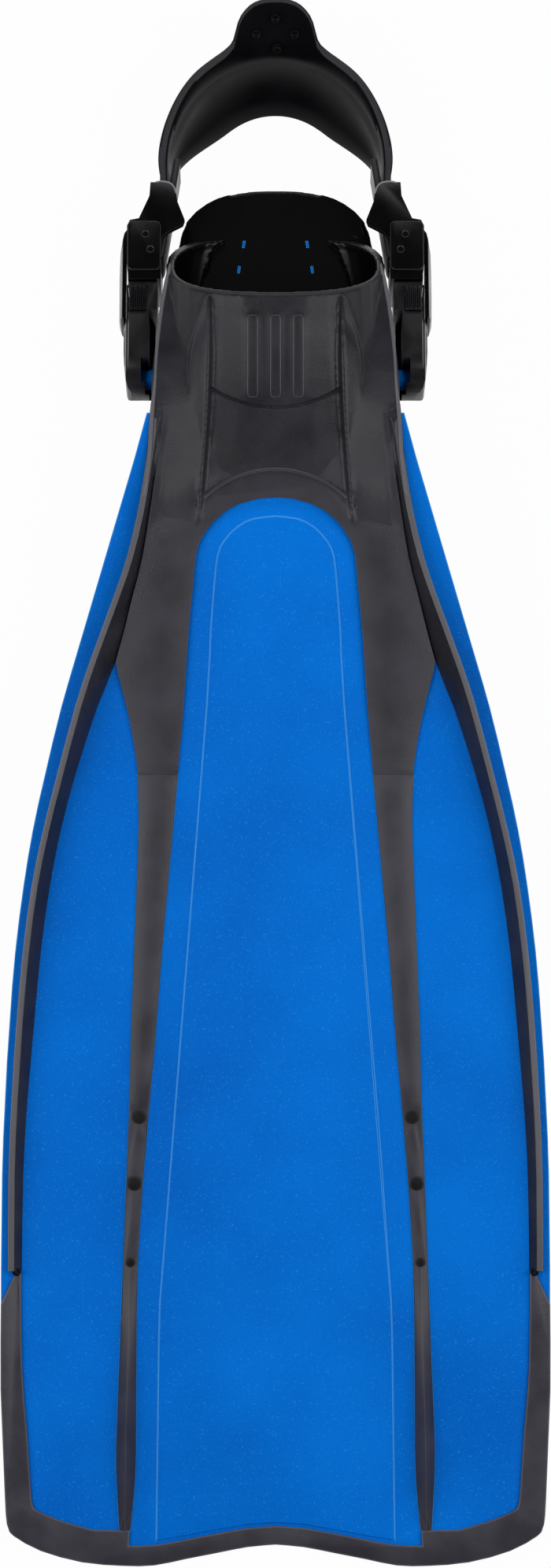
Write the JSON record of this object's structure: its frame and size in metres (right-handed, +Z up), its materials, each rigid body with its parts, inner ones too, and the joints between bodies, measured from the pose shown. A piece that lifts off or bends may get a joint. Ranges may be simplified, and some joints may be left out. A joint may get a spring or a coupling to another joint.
{
  "type": "swim fin",
  "caption": "Open-heel swim fin with a flared blue blade, rubber foot pocket and rails, and a heel strap that swings on quick-release lever buckles.",
  "frame": {"origin": "centre of the footprint, on the ground", "axes": "+Y from the blade's tip to the heel strap, +Z up, +X to the wearer's side seen from above with the heel up"},
  "size_m": [0.22, 0.6338, 0.0799],
  "materials": {
    "blue_polymer": "fine speckle",
    "grey_rubber": "satin",
    "plug_rubber": "satin",
    "strap_rubber": "semi-gloss",
    "buckle_plastic": "gloss",
    "steel": "brushed"
  },
  "bodies": {
    "fin": {"blade": "blue_polymer", "foot_pocket": "grey_rubber", "sole_plate": "blue_polymer", "outsole": "grey_rubber", "left_rail": "grey_rubber", "right_rail": "grey_rubber", "left_stringer": "grey_rubber", "right_stringer": "grey_rubber", "tip_trim": "grey_rubber", "stringer_plugs": "plug_rubber", "left_post": "blue_polymer", "right_post": "blue_polymer", "left_post_clip": "steel", "right_post_clip": "steel"},
    "strap": {"heel_strap": "strap_rubber", "left_base": "buckle_plastic", "left_base_cover": "buckle_plastic", "left_clip": "buckle_plastic", "left_lever_pin": "steel", "left_roller_pin": "steel", "left_latch_springs": "steel", "right_base": "buckle_plastic", "right_base_cover": "buckle_plastic", "right_clip": "buckle_plastic", "right_lever_pin": "steel", "right_roller_pin": "steel", "right_latch_springs": "steel"},
    "left_lever": {"left_lever": "buckle_plastic"},
    "left_top_button": {"left_top_button": "buckle_plastic"},
    "left_bottom_button": {"left_bottom_button": "buckle_plastic"},
    "left_roller": {"left_roller": "steel"},
    "right_lever": {"right_lever": "buckle_plastic"},
    "right_top_button": {"right_top_button": "buckle_plastic"},
    "right_bottom_button": {"right_bottom_button": "buckle_plastic"},
    "right_roller": {"right_roller": "steel"}
  },
  "joints": [
    {"name": "strap_swing", "type": "hinge", "parent": "fin", "child": "strap", "pos_m": [0, 0.15834, 0.04204], "axis": [1, 0, 0], "range_deg": [-12, 95]},
    {"name": "left_lever_flip", "type": "hinge", "parent": "strap", "child": "left_lever", "pos_m": [-0.0573, 0.21805, 0.03227], "axis": [0, -0.1615, -0.9869], "range_deg": [0, 70]},
    {"name": "left_top_press", "type": "slide", "parent": "strap", "child": "left_top_button", "axis": [0, -0.1615, -0.9869], "range_m": [0, 0.0019], "stiffness_N_per_m": 600, "springref_m": -0.001, "deforming": ["left_latch_springs"]},
    {"name": "left_bottom_press", "type": "slide", "parent": "strap", "child": "left_bottom_button", "axis": [0, 0.1615, 0.9869], "range_m": [0, 0.0019], "stiffness_N_per_m": 600, "springref_m": -0.001, "deforming": ["left_latch_springs"]},
    {"name": "left_roller_spin", "type": "hinge", "parent": "strap", "child": "left_roller", "pos_m": [-0.051, 0.20966, 0.03364], "axis": [0, 0.1615, 0.9869], "continuous": true},
    {"name": "right_lever_flip", "type": "hinge", "parent": "strap", "child": "right_lever", "pos_m": [0.0573, 0.21805, 0.03227], "axis": [0, 0.1615, 0.9869], "range_deg": [0, 70]},
    {"name": "right_top_press", "type": "slide", "parent": "strap", "child": "right_top_button", "axis": [0, -0.1615, -0.9869], "range_m": [0, 0.0019], "stiffness_N_per_m": 600, "springref_m": -0.001, "deforming": ["right_latch_springs"]},
    {"name": "right_bottom_press", "type": "slide", "parent": "strap", "child": "right_bottom_button", "axis": [0, 0.1615, 0.9869], "range_m": [0, 0.0019], "stiffness_N_per_m": 600, "springref_m": -0.001, "deforming": ["right_latch_springs"]},
    {"name": "right_roller_spin", "type": "hinge", "parent": "strap", "child": "right_roller", "pos_m": [0.051, 0.20966, 0.03364], "axis": [0, 0.1615, 0.9869], "continuous": true}
  ]
}
